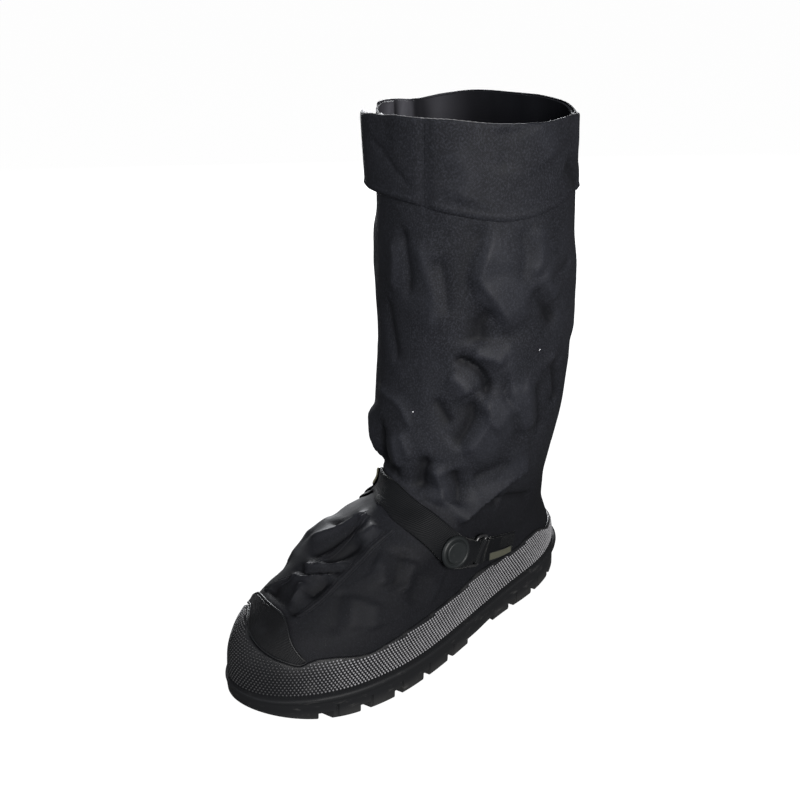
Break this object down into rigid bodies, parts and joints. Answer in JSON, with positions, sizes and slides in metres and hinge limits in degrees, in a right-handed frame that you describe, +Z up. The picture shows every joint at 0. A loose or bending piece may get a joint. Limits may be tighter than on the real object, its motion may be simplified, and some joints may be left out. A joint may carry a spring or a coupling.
{
  "type": "overshoe",
  "caption": "Left slip-over overshoe: a slack black nylon shaft with a wrapped cuff and a strap over the instep, on a textured rubber rand, toe cap and lugged rubber sole.",
  "frame": {"origin": "on the floor, under the tread at the middle of the sole's length", "axes": "+X towards the wearer's left (lateral side), +Y towards the heel, +Z up"},
  "size_m": [0.1411, 0.3225, 0.3852],
  "materials": {
    "sole_rubber": "matt",
    "insole_board": "matt felt",
    "black_nylon": "dull woven nylon",
    "rand_rubber": "textured, slightly shiny",
    "black_webbing": "twill webbing",
    "black_wire": "black, half gloss",
    "snap_finish": "half gloss"
  },
  "bodies": {
    "root": {"outsole": "sole_rubber", "insole": "insole_board", "upper": "black_nylon", "rand": "rand_rubber", "toe_cap": "rand_rubber", "gusset_seam_lateral": "black_nylon", "gusset_seam_medial": "black_nylon", "cuff": "black_nylon", "instep_strap": "black_webbing", "strap_keeper": "black_webbing", "strap_tail": "black_webbing", "ring_tab": "black_webbing", "strap_ring": "black_wire", "snap_button": "snap_finish"}
  },
  "joints": []
}
